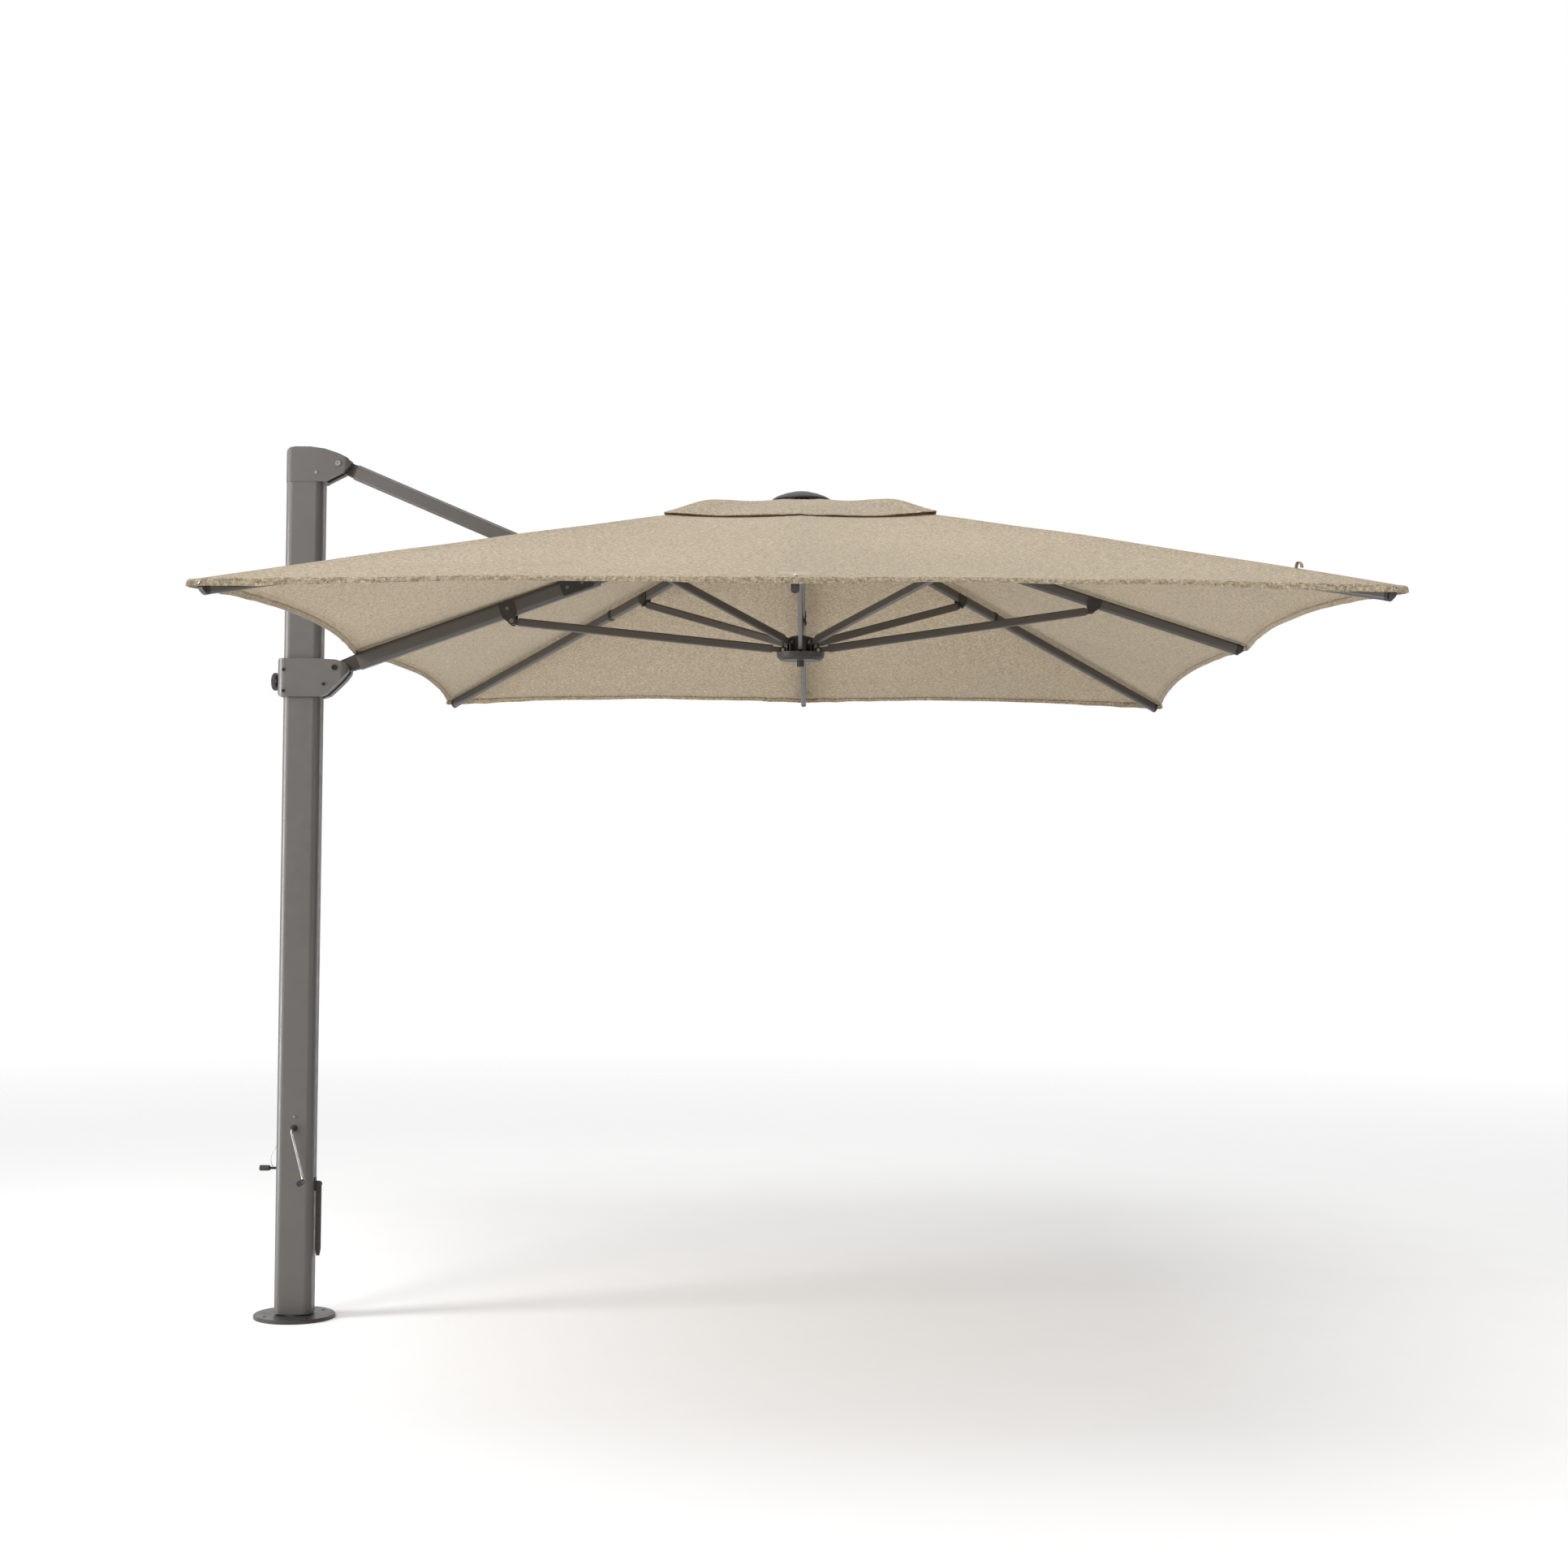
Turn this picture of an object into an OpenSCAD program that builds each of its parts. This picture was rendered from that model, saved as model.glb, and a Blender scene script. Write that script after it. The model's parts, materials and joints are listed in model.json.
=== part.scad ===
// Cantilever parasol: a turning mast on a floor plate, a strut and arm that
// slide down the mast, and a rectangular canopy of seven ribs hung on the arm.
// Origin: centre of the floor plate's underside. +X to the canopy, +Z up.

/* [Floor plate] */
// radius of the floor plate
base_r = 135; // [110:1:180]
// thickness of the floor plate
base_t = 12; // [8:1:20]
// diameter of the circle of floor bolts
bolt_pcd = 210; // [160:1:300]
// radius of each floor bolt hole
bolt_hole_r = 6.5; // [4:0.5:9]
// turn of the bolt holes away from +X
bolt_turn = 37; // [0:1:90]

/* [Mast] */
// mast size along X
mast_w = 126; // [100:1:160]
// mast size along Y
mast_d = 90; // [70:1:120]
// wall thickness of the mast
mast_wall = 3.2; // [2:0.2:5]
// height of the mast tube's top
mast_top = 2806; // [2600:1:3000]
// height of the strut's pivot
head_z = 2868; // [2700:1:3000]
// distance of both mast pivots from the mast's axis
pivot_x = 115; // [100:1:140]
// height of the arm's pivot with the canopy open
slider_z = 2176; // [2000:1:2300]
// height of the crank
crank_z = 633; // [500:1:900]
// height of the lock pin
lock_z = 495; // [400:1:560]
// height of the turning handle's pivot
handle_z = 443; // [300:1:480]

/* [Strut and arm] */
// pivot to pivot length of the strut
strut_len = 885; // [800:1:950]
// depth of the strut
strut_h = 52; // [40:1:60]
// width of the strut
strut_w = 40; // [30:1:50]
// depth of the arm
arm_h = 59; // [50:1:70]
// width of the arm
arm_w = 45; // [36:1:54]

/* [Canopy frame] */
// canopy size along X
canopy_x = 3000; // [2600:10:3400]
// canopy size along Y
canopy_y = 4000; // [3400:10:4400]
// distance of the crown from the mast's axis
crown_x = 1680; // [1600:1:1800]
// height of the rib pivots in the crown
crown_z = 2715; // [2600:1:2800]
// radius of the rib and stretcher pivots
hub_r = 60; // [50:1:80]
// height of the corner rib tips
corner_z = 2200; // [2100:1:2300]
// height of the front and back rib tips
front_z = 2212; // [2100:1:2300]
// height of the side rib tip
side_z = 2250; // [2100:1:2350]
// depth of a rib
rib_h = 37; // [28:1:44]
// width of a rib
rib_w = 20; // [16:1:24]
// depth of a stretcher
stretcher_h = 28; // [20:1:32]
// width of a stretcher
stretcher_w = 14; // [10:1:18]

/* [Canopy cloth] */
// height of the cloth at the middle of the crown
peak_z = 2763; // [2700:1:2800]
// height of the cloth over a rib tip
tip_rise = 25; // [15:1:40]
// thickness of the cloth shell
cloth_t = 1.2; // [0.8:0.1:4]
// share of the canopy that the vent cover spans
vent_share = 0.284; // [0.2:0.01:0.4]
// gap under the vent cover
vent_gap = 9; // [6:1:20]

/* [Hidden] */
$fn = 48;
pin_r = 4;
hub_pin_r = 5;
bolt_r = 8;
crank_r = 4.6;
run_gap = 0.06;
// heights of the runner's pivots, for corner stretchers and for the others
run_zc = 2271;
run_zm = 2249;
// the arm runs from its pivot on the slider to its pivot on the crown
arm_run = crown_x - hub_r - pivot_x;
arm_rise = crown_z - slider_z;
arm_a = atan(arm_rise / arm_run);
arm_len = norm([arm_run, arm_rise]);
strut_a = asin((head_z - slider_z) / 2 / strut_len);
q_off = strut_len * sin(strut_a - arm_a);
q_s = strut_len * cos(strut_a - arm_a);
// the arm's stretcher pivot
left_r = 975;
left_z = 2340;
left_dx = crown_x - left_r - pivot_x;
left_dz = left_z - slider_z;
left_s = left_dx * cos(arm_a) + left_dz * sin(arm_a);
left_n = left_dz * cos(arm_a) - left_dx * sin(arm_a);

// rib directions, lengths and tip heights: front left, front, front right,
// right, back right, back, back left, and the arm's own direction
hx = canopy_x / 2;
hy = canopy_y / 2;
dirs = [
    [-hx, -hy, corner_z], [0, -hy, front_z], [hx, -hy, corner_z], [hx, 0, side_z],
    [hx, hy, corner_z], [0, hy, front_z], [-hx, hy, corner_z], [-hx, 0, 2221]
];
function az(i) = atan2(dirs[i][1], dirs[i][0]);
function reach(i) = norm([dirs[i][0], dirs[i][1]]);
function is_corner(i) = i == 0 || i == 2 || i == 4 || i == 6;
function slope(i) = atan((crown_z - dirs[i][2]) / (reach(i) - hub_r));
function rib_len(i) = (reach(i) - hub_r) / cos(slope(i));
// the stretcher's pivot under each rib, by radius and height
corner_r = 975;
mid_r = 980;
function foot_r(i) = i == 7 ? left_r : is_corner(i) ? corner_r : mid_r;
function mid_foot_z(i) = crown_z - (mid_r - hub_r) * tan(slope(i)) - 29 / cos(slope(i));
function foot_z(i) = i == 7 ? left_z : is_corner(i) ? (crown_z + run_zc) / 2 : mid_foot_z(i);
function run_z(i) = is_corner(i) ? run_zc : run_zm;
function foot_u(i) = (foot_r(i) - hub_r) * cos(slope(i)) + (crown_z - foot_z(i)) * sin(slope(i));
function foot_n(i) = (foot_r(i) - hub_r) * sin(slope(i)) - (crown_z - foot_z(i)) * cos(slope(i));
function str_a(i) = atan((foot_z(i) - run_z(i)) / (foot_r(i) - hub_r));
function str_len(i) = norm([foot_r(i) - hub_r, foot_z(i) - run_z(i)]);

// ---- shared shapes ----
module rounded(w, h, r) {
    square([w - 2 * r, h], center = true);
    square([w, h - 2 * r], center = true);
    for (sx = [-1, 1], sy = [-1, 1])
        translate([sx * (w / 2 - r), sy * (h / 2 - r)]) circle(r);
}
// a bar along local +X, depth along Z, width along Y
module bar(x0, x1, h, w, r) {
    translate([x0, 0, 0]) rotate([90, 0, 90])
        linear_extrude(x1 - x0) rounded(w, h, r);
}
module pipe(x0, x1, h, w, r, t) {
    translate([x0, 0, 0]) rotate([90, 0, 90]) linear_extrude(x1 - x0) difference() {
        rounded(w, h, r);
        rounded(w - 2 * t, h - 2 * t, r - t);
    }
}
// a plate in the XZ plane, t thick, centred on y
module plate(t, y = 0) {
    translate([0, y + t / 2, 0]) rotate([90, 0, 0]) linear_extrude(t) children();
}
// a cylinder along Y
module across(r, l, y = 0, fn = 48) {
    translate([0, y + l / 2, 0]) rotate([90, 0, 0]) cylinder(r = r, h = l, $fn = fn);
}
module eye(r, x1, h1) {
    circle(r);
    polygon([[0, -r], [x1, -h1 / 2], [x1, h1 / 2], [0, r]]);
}
module low_bolt(r, half, head_r, head_t) {
    difference() {
        union() {
            across(r, 2 * half);
            for (s = [-1, 1]) across(head_r, head_t, s * (half + head_t / 2));
        }
        for (s = [-1, 1]) across(head_r * 0.42, head_t, s * (half + head_t), 6);
    }
}
module mast_outline(grow = 0) {
    rounded(mast_w + 2 * grow, mast_d + 2 * grow, 24 + grow);
}
module mast_inside(gap = 0) {
    rounded(mast_w - 2 * mast_wall - 2 * gap, mast_d - 2 * mast_wall - 2 * gap, 24 - mast_wall - gap);
}

// ---- base ----
module base_plate() color("dimgray") difference() {
    union() {
        cylinder(r = base_r, h = base_t - 3, $fn = 96);
        translate([0, 0, base_t - 3]) cylinder(r1 = base_r, r2 = base_r - 3, h = 3, $fn = 96);
    }
    for (i = [0:3]) rotate([0, 0, bolt_turn + 90 * i])
        translate([bolt_pcd / 2, 0, -1]) cylinder(r = bolt_hole_r, h = base_t + 2);
}
module mast_spigot() color("gray") difference() {
    union() {
        translate([0, 0, base_t]) cylinder(r = 35, h = 560 - base_t, $fn = 72);
        translate([0, 0, base_t]) cylinder(r1 = 36.9, r2 = 35, h = 1.9, $fn = 72);
    }
    translate([0, 0, base_t - 1]) cylinder(r = 27, h = 560, $fn = 72);
    for (i = [0:11]) rotate([0, 0, 30 * i]) translate([25, 0, lock_z])
        rotate([0, 90, 0]) cylinder(r = 5.4, h = 12);
}
module thrust_ring() color("black") translate([0, 0, base_t]) difference() {
    cylinder(r = 44, h = 4, $fn = 72);
    translate([0, 0, -1]) cylinder(r = 37.5, h = 6, $fn = 72);
}

// ---- mast ----
module mast_tube() color("rosybrown") difference() {
    translate([0, 0, 16.3]) linear_extrude(mast_top - 16.3) mast_outline();
    translate([0, 0, 10]) linear_extrude(mast_top) mast_inside();
    translate([0, -mast_d / 2, crank_z]) across(9, 20);
    translate([-mast_w / 2 - 5, 0, lock_z]) rotate([0, 90, 0]) cylinder(r = 5.1, h = 20);
}
module mast_bushes() color("black") for (z = [36, 515]) translate([0, 0, z]) difference() {
    linear_extrude(40) mast_inside(0.05);
    translate([0, 0, -1]) cylinder(r = 35 + run_gap, h = 42, $fn = 72);
}
head_side = [
    [-63, 2806], [-63, 2902], [-59, 2914], [-48, 2922], [-30, 2925], [20, 2925],
    [70, 2918], [118, 2902], [146, 2888], [156, 2874], [154, 2860], [140, 2846],
    [112, 2832], [88, 2820], [63, 2806]
];
module mast_head() color("rosybrown") difference() {
    union() {
        intersection() {
            plate(94) polygon(head_side);
            translate([46.5, 0, 2800]) linear_extrude(140) rounded(219, 94, 20);
        }
        translate([0, 0, mast_top - 40]) linear_extrude(40) mast_inside(0.1);
    }
    // slot for the strut's tongue
    translate([70, -17.5, 2780]) cube([100, 35, 125]);
    // well for the pulley, open down into the mast
    translate([20, 0, 2862]) across(33, 18);
    translate([-13, -9, 2750]) cube([66, 18, 112]);
    translate([pivot_x, 0, head_z]) across(bolt_r + 0.05, 120);
    translate([20, 0, 2862]) across(5.02, 92, 15);
    for (s = [-1, 1]) translate([41, 0, 2837]) across(3.05, 12, s * 47);
}
module mast_bolts() color("silver") {
    translate([pivot_x, 0, head_z]) low_bolt(bolt_r, 47, 9.5, 4);
    translate([20, 0, 2862]) across(5, 76, 8);
    for (s = [-1, 1]) translate([41, 0, 2837]) {
        across(3, 5.8, s * 44);
        across(5.5, 2.5, s * 48.26);
    }
    translate([0, -mast_d / 2 - 1.25, crank_z + 39]) across(5, 2.5);
}
module head_pulley() color("black") translate([20, 0, 2862]) difference() {
    union() {
        across(28, 14);
    }
    rotate([90, 0, 0]) rotate_extrude($fn = 64)
        polygon([[23, 0], [29, -6], [29, 6]]);
    across(5 + run_gap, 20);
}
module winch_case() color("dimgray") difference() {
    translate([0, 0, crank_z]) cube([100, 74, 100], center = true);
    translate([0, 0, crank_z]) across(40, 64);
    translate([-16, -16, crank_z + 30]) cube([32, 32, 30]);
    translate([0, 0, crank_z]) across(crank_r + run_gap + 0.04, 90);
}
module crank_bush() color("black") translate([0, -mast_d / 2, crank_z]) difference() {
    union() {
        across(8.9, 6.9, 3.45);
        across(11, 3, -1.5);
        across(8.5, 10, -8, 6);
    }
    across(crank_r + run_gap, 60);
}
module handle_bracket() color("dimgray") translate([mast_w / 2, 0, handle_z]) {
    difference() {
        union() {
            translate([1.5, 0, 0]) cube([3, 26, 44], center = true);
            for (s = [-1, 1]) plate(3, s * 6.3) union() {
                translate([13, 0]) circle(10);
                translate([1, -10]) square([12, 20]);
            }
        }
        translate([13, 0, 0]) across(3.6, 40);
    }
    translate([13, 0, 0]) {
        across(3.6, 15.6);
        for (s = [-1, 1]) across(6, 2.4, s * 9);
    }
}

// ---- lock pin, with its safety wire ----
module lock_pin() color("silver") translate([0, 0, lock_z]) rotate([0, -90, 0]) {
    translate([0, 0, 24]) cylinder(r = 5, h = 38);
    translate([0, 0, 22]) cylinder(r1 = 3.5, r2 = 5, h = 2);
    translate([0, 0, 62]) cylinder(r = 4.4, h = 32);
}
module lock_pin_grip() color("black") translate([0, 0, lock_z]) rotate([0, -90, 0]) difference() {
    union() {
        translate([0, 0, 88]) cylinder(r1 = 7, r2 = 9.5, h = 4);
        translate([0, 0, 92]) cylinder(r = 9.5, h = 29);
        translate([0, 0, 121]) cylinder(r1 = 9.5, r2 = 8, h = 3);
    }
    translate([0, 0, 80]) cylinder(r = 4.45, h = 14.05);
    for (i = [0:2]) translate([0, 0, 98 + 8 * i]) rotate_extrude()
        polygon([[8.5, 1.5], [10, 0], [10, 3]]);
}
// the wire runs from an eyelet on the mast down to the pin's neck
wire_d = 2;
wire_way = [
    [-63.6, -20, 568], [-70, -22, 563], [-77, -24, 548], [-81, -22, 532],
    [-82, -16, 518], [-81, -9, 508], [-79, -3, 502.6], [-78, 0, 501.3]
];
function tube_ring(p, q, d, n) =
    let (t = (q - p) / norm(q - p), a = [1, 0, 0] - t[0] * t, u = a / norm(a), v = cross(t, u))
    [for (k = [0:n - 1]) d / 2 * (cos(360 * k / n) * u + sin(360 * k / n) * v)];
function way_at(w, f) =
    let (m = len(w) - 1, i = min(floor(f * m), m - 1), t = f * m - i,
        a = w[max(i - 1, 0)], b = w[i], c = w[i + 1], e = w[min(i + 2, m)])
    0.5 * (2 * b + t * (c - a) + t * t * (2 * a - 5 * b + 4 * c - e)
        + t * t * t * (3 * b - a - 3 * c + e));
module wire(w, d, rings, n = 8) {
    mids = [for (i = [0:rings]) way_at(w, i / rings)];
    pts = [for (i = [0:rings]) let (o = tube_ring(mids[max(i - 1, 0)], mids[min(i + 1, rings)], d, n))
        for (k = [0:n - 1]) mids[i] + o[k]];
    sides = [for (i = [0:rings - 1], k = [0:n - 1])
        [i * n + k, i * n + (k + 1) % n, (i + 1) * n + (k + 1) % n, (i + 1) * n + k]];
    ends = [[for (k = [n - 1:-1:0]) k], [for (k = [0:n - 1]) rings * n + k]];
    polyhedron(points = pts, faces = concat(sides, ends), convexity = 6);
}
module lock_pin_lanyard() color("silver") wire(wire_way, wire_d, 24);

// ---- crank ----
crank_dir = 14.5;
module crank_rod() color("silver") translate([0, 0, crank_z]) rotate([0, -crank_dir, 0]) {
    across(crank_r, 94, -25);
    translate([0, -72, -16]) multmatrix([[0, 0, 1, 0], [0, -1, 0, 0], [1, 0, 0, 0]])
        rotate_extrude(angle = 90) translate([16, 0]) circle(crank_r);
    translate([0, -88, -159]) cylinder(r = crank_r, h = 143);
    translate([0, -104, -159]) multmatrix([[0, 0, -1, 0], [1, 0, 0, 0], [0, -1, 0, 0]])
        rotate_extrude(angle = 90) translate([16, 0]) circle(crank_r);
    translate([0, 0, -175]) across(crank_r, 46, -127);
}
module winch_drum() color("dimgray") translate([0, 0, crank_z]) difference() {
    union() {
        across(20, 50);
        for (s = [-1, 1]) across(36, 3, s * 26.5);
    }
    across(crank_r + 0.02, 60);
}
module crank_grip() color("black") translate([0, 0, crank_z]) rotate([0, -crank_dir, 0])
    translate([0, -131, -175]) difference() {
        union() {
            across(9.5, 44);
            for (s = [-1, 1]) across(8.5, 3, s * 23.5);
        }
        across(crank_r + run_gap, 51, 5.5);
        across(5, 4, -25);
    }

// ---- turning handle ----
module turning_handle() color("gray") translate([mast_w / 2 + 13, 0, handle_z]) plate(8) difference() {
    union() {
        circle(9);
        polygon([[-9, 0], [-9, -216], [-5, -238], [5, -238], [9, -216], [9, 0]]);
    }
    circle(3.6 + run_gap);
}

// ---- slider ----
slider_side = [
    [-80, 2088], [-80, 2198], [-72, 2207], [60, 2206], [118, 2203], [148, 2194],
    [160, 2178], [156, 2160], [136, 2136], [108, 2108], [84, 2086], [62, 2078], [-70, 2078]
];
module slider_shell(s) difference() {
    intersection() {
        plate(116) polygon(slider_side);
        translate([40, 0, 2050]) linear_extrude(200) rounded(240, 116, 26);
        translate([-200, s > 0 ? 0.1 : -100.1, 2000]) cube([500, 100, 300]);
    }
    translate([0, 0, 2000]) linear_extrude(300) mast_outline(3.1);
    translate([66, -17.5, 2000]) cube([200, 35, 300]);
    translate([pivot_x, 0, slider_z]) across(bolt_r + 0.05, 130);
    translate([-120, 0, 2131]) rotate([0, 90, 0]) cylinder(r = 5.1, h = 60);
    for (p = slider_screws) translate([p[0], 0, p[1]]) across(3.05, 6, s * 56);
}
slider_screws = [[-56, 2168], [-56, 2097], [79, 2120]];
module slider_front_shell() color("rosybrown") slider_shell(-1);
module slider_rear_shell() color("rosybrown") slider_shell(1);
module slider_glides() color("black") for (z = [2084, 2176]) translate([0, 0, z])
    linear_extrude(24) difference() {
        mast_outline(3);
        mast_outline(0.5);
    }
module slider_bolts() color("silver") {
    translate([pivot_x, 0, slider_z]) low_bolt(bolt_r, 58, 9.5, 4);
    for (p = slider_screws, s = [-1, 1]) translate([p[0], 0, p[1]]) {
        across(3, 4.8, s * 55.5);
        across(5.5, 2.5, s * 59.26);
    }
}
module clamp_knob() color("black") translate([0, 0, 2131]) rotate([0, -90, 0]) difference() {
    union() {
        translate([0, 0, 67.5]) cylinder(r = 5, h = 20);
        translate([0, 0, 81]) cylinder(r = 14, h = 6);
        translate([0, 0, 87]) cylinder(r1 = 27, r2 = 30, h = 4);
        translate([0, 0, 91]) cylinder(r = 30, h = 10);
        translate([0, 0, 101]) cylinder(r1 = 30, r2 = 24, h = 5);
    }
    for (i = [0:5]) rotate([0, 0, 60 * i + 30]) translate([36, 0, 80]) cylinder(r = 11, h = 30);
}

// ---- strut, drawn along local +X from the mast's pivot ----
module on_strut() translate([pivot_x, 0, head_z]) rotate([0, strut_a, 0]) children();
module strut_tube() color("rosybrown") on_strut()
    pipe(60, strut_len - 62, strut_h, strut_w, 12, 2.6);
module strut_tongues() color("black") on_strut() difference() {
    union() {
        plate(34) eye(20, 60, 44);
        bar(60, 104, strut_h - 5.4, strut_w - 5.4, 9.2);
        translate([strut_len, 0, 0]) mirror([1, 0, 0]) {
            plate(34) eye(16, 62, 44);
            bar(62, 106, strut_h - 5.4, strut_w - 5.4, 9.2);
        }
    }
    across(bolt_r + run_gap, 60);
    translate([strut_len, 0, 0]) across(bolt_r + run_gap, 60);
}

// ---- arm, drawn along local +X from the slider's pivot ----
module on_arm() translate([pivot_x, 0, slider_z]) rotate([0, -arm_a, 0]) children();
arm_mid = q_s + 50;
module arm_tube() color("rosybrown") on_arm() {
    pipe(76, arm_mid, arm_h, arm_w, 14, 3);
    pipe(arm_mid, arm_len - 122, 46, 38, 12, 3);
}
module arm_tongues() color("black") on_arm() difference() {
    union() {
        plate(34) eye(20, 76, 50);
        bar(76, 130, arm_h - 6.2, arm_w - 6.2, 10.9);
        translate([arm_len, 0, 0]) mirror([1, 0, 0]) {
            plate(10) union() {
                eye(11, 30, 22);
                translate([30, -11]) square([20, 22]);
            }
            plate(26) polygon([[46, -12], [122, -20], [122, 20], [46, 12]]);
            bar(122, 170, 46 - 6.2, 38 - 6.2, 8.9);
        }
    }
    across(bolt_r + run_gap, 60);
    translate([arm_len, 0, 0]) across(hub_pin_r + run_gap, 60);
}
module strut_bracket() color("dimgray") on_arm() translate([q_s, 0, 0]) difference() {
    union() {
        for (s = [-1, 1]) plate(4, s * (arm_w / 2 + 2)) union() {
            translate([0, q_off]) circle(17);
            polygon([[-80, -20], [-76, -25], [26, -25], [30, -20], [30, 14], [17, q_off],
                [-17, q_off], [-80, 16]]);
        }
        for (s = [-1, 1]) translate([0, 0, q_off]) across(13, 5, s * (arm_w / 2 - 2.5));
    }
    translate([0, 0, q_off]) across(bolt_r + 0.05, 80);
    for (x = [-58, -6]) translate([x, 0, 0]) across(3.05, 80);
}
module stretcher_bracket() color("dimgray") on_arm() translate([left_s, 0, 0]) difference() {
    for (s = [-1, 1]) plate(4, s * (arm_w / 2 + 2)) union() {
        translate([0, left_n]) circle(13);
        polygon([[-26, 20], [-26, -24], [-13, left_n], [13, left_n], [26, -24], [26, 20]]);
    }
    across(3.05, 80);
    translate([0, 0, left_n]) across(pin_r + 0.05, 80);
}
module arm_bolts() color("silver") on_arm() {
    translate([q_s, 0, q_off]) low_bolt(bolt_r, arm_w / 2 + 4, 10.5, 4);
    for (s = [-1, 1]) {
        for (x = [q_s - 58, q_s - 6, left_s]) translate([x, 0, 0]) {
            across(3, 3.8, s * (arm_w / 2 + 2.1));
            across(6, 2.6, s * (arm_w / 2 + 5.31));
        }
        translate([left_s, 0, left_n]) {
            across(pin_r, 3.9, s * (arm_w / 2 + 2.05));
            across(8, 3, s * (arm_w / 2 + 5.51));
        }
    }
}

// ---- crown ----
module at_crown(i) translate([crown_x, 0, 0]) rotate([0, 0, az(i)]) children();
module crown_hub() color("dimgray") difference() {
    union() {
        translate([crown_x, 0, crown_z - 30]) cylinder(r = 42, h = 50);
        translate([crown_x, 0, crown_z + 20]) cylinder(r1 = 42, r2 = 34, h = 6);
        translate([crown_x, 0, crown_z + 26]) cylinder(r = 12, h = 26);
        for (i = [0:7]) at_crown(i) for (s = [-1, 1]) plate(4.5, s * 7.6)
            translate([0, crown_z]) {
                translate([38, -12]) square([22, 28]);
                translate([hub_r, 0]) circle(12);
            }
    }
    for (i = [0:7]) at_crown(i) {
        translate([hub_r, 0, crown_z]) across(hub_pin_r + 0.02, 40);
        translate([hub_r - 13, -5.35, crown_z - 60]) cube([60, 10.7, 74]);
    }
}
module crown_pins() color("silver") for (i = [0:7]) at_crown(i) translate([hub_r, 0, crown_z]) {
    across(hub_pin_r, 21);
    for (s = [-1, 1]) across(7, 1.2, s * 10.46);
}
module crown_cap() color("black") translate([crown_x, 0, 0]) rotate_extrude($fn = 72)
    polygon([[0, crown_z + 53], [14, crown_z + 53], [14, 2774], [96, 2753], [100, 2753],
        [99, 2758], [84, 2767], [60, 2776], [34, 2783], [12, 2786], [0, 2786]]);

// ---- ribs, drawn along local +X from the crown's pivot ----
module on_rib(i) at_crown(i) translate([hub_r, 0, crown_z]) rotate([0, slope(i), 0]) children();
module rib_tube(i) on_rib(i) pipe(42, rib_len(i) - 36, rib_h, rib_w, 9, 1.6);
module rib_fittings(i) on_rib(i) difference() {
    union() {
        // root tongue and its plug
        plate(10) union() {
            circle(11);
            polygon([[0, -11], [42, -14], [42, 14], [0, 11]]);
        }
        bar(42, 96, rib_h - 3.4, rib_w - 3.4, 7.3);
        // saddle for the stretcher
        for (s = [-1, 1]) plate(3, s * (rib_w / 2 + 1.6)) union() {
            translate([foot_u(i), foot_n(i)]) circle(10);
            polygon([[foot_u(i) - 24, 13], [foot_u(i) - 24, -13], [foot_u(i) - 10, foot_n(i)],
                [foot_u(i) + 10, foot_n(i)], [foot_u(i) + 24, -13], [foot_u(i) + 24, 13]]);
        }
        translate([foot_u(i), 0, foot_n(i)]) for (s = [-1, 1]) {
            if (is_corner(i)) across(pin_r, rib_w / 2 + 3, s * (rib_w / 4 + 1.5));
            across(6.5, 2.4, s * (rib_w / 2 + 4.2));
        }
        for (s = [-1, 1]) translate([foot_u(i), 0, 2]) across(4.5, 2, s * (rib_w / 2 + 3.8));
        // collar on a corner rib
        if (is_corner(i)) pipe(foot_u(i) + 232, foot_u(i) + 246, rib_h + 5, rib_w + 5, 11.5, 2.4);
        // tip cap and its plug
        bar(rib_len(i) - 82, rib_len(i) - 36, rib_h - 3.4, rib_w - 3.4, 7.3);
        bar(rib_len(i) - 36, rib_len(i) - 24, rib_h + 1, rib_w + 1, 9.5);
        translate([rib_len(i) - 24, 0, 0]) plate(rib_w - 3)
            polygon([[0, 17], [0, -17], [10, -5], [12, 2], [10, 16]]);
    }
    across(hub_pin_r + run_gap, 30);
}
module rib_fl() color("rosybrown") rib_tube(0);
module rib_fm() color("rosybrown") rib_tube(1);
module rib_fr() color("rosybrown") rib_tube(2);
module rib_r() color("rosybrown") rib_tube(3);
module rib_br() color("rosybrown") rib_tube(4);
module rib_bm() color("rosybrown") rib_tube(5);
module rib_bl() color("rosybrown") rib_tube(6);
module rib_fl_fittings() color("black") rib_fittings(0);
module rib_fm_fittings() color("black") rib_fittings(1);
module rib_fr_fittings() color("black") rib_fittings(2);
module rib_r_fittings() color("black") rib_fittings(3);
module rib_br_fittings() color("black") rib_fittings(4);
module rib_bm_fittings() color("black") rib_fittings(5);
module rib_bl_fittings() color("black") rib_fittings(6);

// ---- stretchers, drawn along local +X from the runner's pivot ----
module stretcher(i) {
    l = str_len(i);
    barrel = i == 7 ? arm_w - 0.6 : rib_w - 0.6;
    at_crown(i) translate([hub_r, 0, run_z(i)]) rotate([0, -str_a(i), 0]) difference() {
        union() {
            plate(8) union() {
                circle(9);
                polygon([[0, -9], [36, -9], [36, 9], [0, 9]]);
            }
            bar(34, l - 20, stretcher_h, stretcher_w, 5);
            translate([l, 0, 0]) {
                plate(8) mirror([1, 0]) eye(9, 22, 22);
                across(9, barrel);
            }
        }
        across(pin_r + (i == 0 || i == 4 || i == 6 ? 0.3 : run_gap), 30);
        translate([l, 0, 0]) across(pin_r + (is_corner(i) ? run_gap : 0.6), 60);
    }
}
module stretcher_fl() color("gray") stretcher(0);
module stretcher_fm() color("gray") stretcher(1);
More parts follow.
